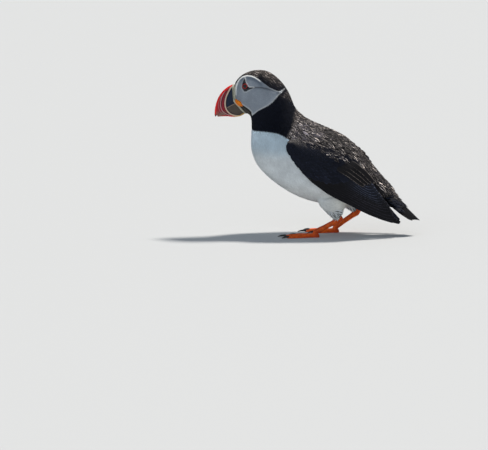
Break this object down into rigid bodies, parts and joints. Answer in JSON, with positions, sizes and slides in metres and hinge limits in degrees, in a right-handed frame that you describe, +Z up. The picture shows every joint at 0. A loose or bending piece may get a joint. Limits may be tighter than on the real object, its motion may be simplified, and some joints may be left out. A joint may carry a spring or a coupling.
{
  "type": "atlantic puffin model",
  "caption": "Still life-size Atlantic puffin, leaning forward with its heavy striped bill tipped down, standing on webbed feet.",
  "frame": {"origin": "on the floor, at the middle of the bird's outer box seen from above", "axes": "-X is the way the bird faces, -Y is its left side, +Z is up from the floor"},
  "size_m": [0.2393, 0.0892, 0.1926],
  "materials": {
    "black_plumage": "dense matt feathers with a faint brown edge to each",
    "white_plumage": "dense soft white feathers",
    "flight_feathers": "smooth blackish feathers with a cool satin sheen",
    "bill_red": "satin horn with pale grooves",
    "bill_slate": "satin horn",
    "bill_cream": "matt pitted ridge",
    "gape_skin": "soft wrinkled skin",
    "leg_skin": "scaly satin skin",
    "black_horn": "satin horn",
    "eye": "wet gloss with a red rim"
  },
  "bodies": {
    "root": {"head": "black_plumage", "neck": "black_plumage", "trunk": "white_plumage", "tail": "flight_feathers", "wing_left": "black_plumage", "wing_right": "black_plumage", "primaries_left": "flight_feathers", "primaries_right": "flight_feathers", "bill_upper": "bill_red", "bill_lower": "bill_slate", "bill_base": "bill_cream", "gape_left": "gape_skin", "gape_right": "gape_skin", "eye_left": "eye", "eye_right": "eye", "eye_horn_left": "bill_slate", "eye_horn_right": "bill_slate", "eye_bar_left": "bill_slate", "eye_bar_right": "bill_slate", "thigh_left": "white_plumage", "thigh_right": "white_plumage", "tarsus_left": "leg_skin", "tarsus_right": "leg_skin", "foot_left": "leg_skin", "foot_right": "leg_skin", "claw_left_inner": "black_horn", "claw_left_middle": "black_horn", "claw_left_outer": "black_horn", "claw_right_inner": "black_horn", "claw_right_middle": "black_horn", "claw_right_outer": "black_horn"}
  },
  "joints": []
}
